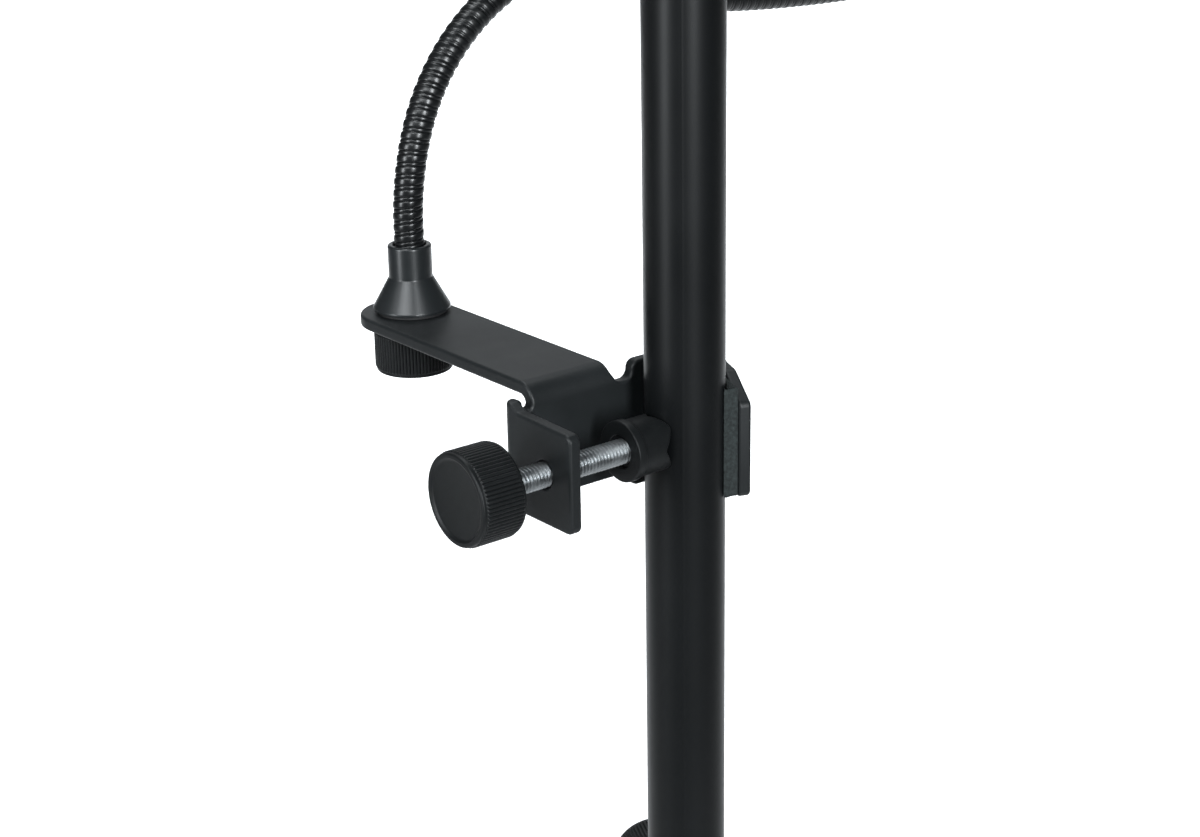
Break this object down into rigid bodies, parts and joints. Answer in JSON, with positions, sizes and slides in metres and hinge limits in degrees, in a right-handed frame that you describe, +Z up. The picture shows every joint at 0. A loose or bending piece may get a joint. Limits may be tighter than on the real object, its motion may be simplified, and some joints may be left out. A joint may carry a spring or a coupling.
{
  "type": "music stand",
  "caption": "Free-standing music stand with a height-adjustable mast, tilting desk and a screw clamp that carries a bendable gooseneck arm.",
  "frame": {"origin": "on the mast axis at floor level, midway across the stand", "axes": "+Z up along the mast, music side of the desk faces -Y, the clamp screw runs along +X"},
  "size_m": [0.5, 0.4428, 1.3769],
  "materials": {
    "satin_black": "satin stove enamel",
    "powder_black": "fine textured powder coat",
    "turned_black": "semi-gloss black over turning lines",
    "neck_black": "glossy black over wound wire",
    "bright_zinc": "zinc plated",
    "insert_brass": "machined",
    "moulded_black": "fine moulded grain",
    "foot_rubber": "matt",
    "pad_foam": "closed-cell foam"
  },
  "bodies": {
    "base": {"base_hub": "satin_black", "leg_1": "satin_black", "leg_2": "satin_black", "leg_3": "satin_black", "rubber_foot_1": "foot_rubber", "rubber_foot_2": "foot_rubber", "rubber_foot_3": "foot_rubber", "lower_tube": "satin_black", "tube_plug": "bright_zinc", "hub_washer": "bright_zinc", "hub_bolt": "bright_zinc", "clutch_collar": "moulded_black", "collar_liner": "moulded_black", "clutch_insert": "insert_brass"},
    "shoe": {"pressure_shoe": "insert_brass"},
    "clutch": {"clutch_screw": "bright_zinc", "clutch_knob": "moulded_black"},
    "glide": {"glide_bush": "moulded_black"},
    "mast": {"mast_tube": "satin_black", "glide_plug": "bright_zinc", "glide_screw": "bright_zinc", "tilt_lug": "satin_black", "lug_pin": "bright_zinc"},
    "desk": {"desk_panel": "powder_black", "desk_angle_left": "powder_black", "desk_angle_right": "powder_black", "desk_rivets": "satin_black", "tilt_bolt": "bright_zinc", "tilt_washers": "moulded_black", "tilt_spring_washer": "bright_zinc", "tilt_nut": "bright_zinc"},
    "clamp": {"clamp_bracket": "powder_black", "clamp_pad": "pad_foam", "cone_washer": "foot_rubber"},
    "clamp_foot": {"clamp_foot": "moulded_black"},
    "thumb_screw": {"thumb_screw": "bright_zinc", "thumb_knob": "moulded_black"},
    "neck_base": {"gooseneck_cone": "turned_black", "base_stud": "bright_zinc", "gooseneck_span_1": "neck_black"},
    "lock_washer": {"lock_washer": "bright_zinc"},
    "lock_knob": {"lock_knob": "moulded_black"},
    "neck_low": {"gooseneck_span_2": "neck_black"},
    "neck_mid": {"gooseneck_span_3": "neck_black"},
    "neck_end": {"gooseneck_span_4": "neck_black", "end_ferrule": "turned_black", "accessory_stud": "bright_zinc"}
  },
  "joints": [
    {"name": "shoe_slide", "type": "slide", "parent": "base", "child": "shoe", "axis": [0.4258, 0.9048, 0], "range_m": [0, 0.0025]},
    {"name": "clutch_turn", "type": "hinge", "parent": "shoe", "child": "clutch", "pos_m": [0.01277, 0.02714, 0.6255], "axis": [0.4258, 0.9048, 0], "range_deg": [0, 720]},
    {"name": "height_slide", "type": "slide", "parent": "base", "child": "glide", "axis": [0, 0, 1], "range_m": [-0.06, 0.2]},
    {"name": "mast_swivel", "type": "hinge", "parent": "glide", "child": "mast", "pos_m": [0, 0, 0.3], "axis": [0, 0, 1], "continuous": true},
    {"name": "desk_tilt", "type": "hinge", "parent": "mast", "child": "desk", "pos_m": [0, 0, 1.162], "axis": [1, 0, 0], "range_deg": [-65, 20]},
    {"name": "clamp_slide", "type": "slide", "parent": "mast", "child": "clamp", "axis": [0, 0, 1], "range_m": [-0.045, 0.06]},
    {"name": "foot_slide", "type": "slide", "parent": "clamp", "child": "clamp_foot", "axis": [-1, 0, 0], "range_m": [0, 0.02438]},
    {"name": "thumb_turn", "type": "hinge", "parent": "clamp_foot", "child": "thumb_screw", "pos_m": [-0.06, 0, 0.8], "axis": [-1, 0, 0], "range_deg": [0, 7020]},
    {"name": "neck_swivel", "type": "hinge", "parent": "clamp", "child": "neck_base", "pos_m": [-0.029, 0.1047, 0.822], "axis": [0, 0, 1], "range_deg": [-30, 180]},
    {"name": "washer_slide", "type": "slide", "parent": "neck_base", "child": "lock_washer", "axis": [0, 0, -1], "range_m": [0, 0.00375]},
    {"name": "lock_turn", "type": "hinge", "parent": "lock_washer", "child": "lock_knob", "pos_m": [-0.029, 0.1047, 0.81], "axis": [0, 0, -1], "range_deg": [0, 1080]},
    {"name": "neck_bend_low", "type": "hinge", "parent": "neck_base", "child": "neck_low", "pos_m": [-0.02425, 0.1047, 0.87997], "axis": [0, 1, 0], "range_deg": [-30, 30]},
    {"name": "neck_bend_mid", "type": "hinge", "parent": "neck_low", "child": "neck_mid", "pos_m": [0.00868, 0.1047, 0.92064], "axis": [0, 1, 0], "range_deg": [-30, 30]},
    {"name": "neck_bend_end", "type": "hinge", "parent": "neck_mid", "child": "neck_end", "pos_m": [0.11446, 0.1047, 0.90859], "axis": [0, 1, 0], "range_deg": [-30, 30]}
  ],
  "couplings": [
    {"joint": "clutch_turn", "follows": "shoe_slide", "rad_per_m": 5026.5},
    {"joint": "thumb_turn", "follows": "foot_slide", "rad_per_m": 5026.5},
    {"joint": "lock_turn", "follows": "washer_slide", "rad_per_m": 5026.5}
  ]
}
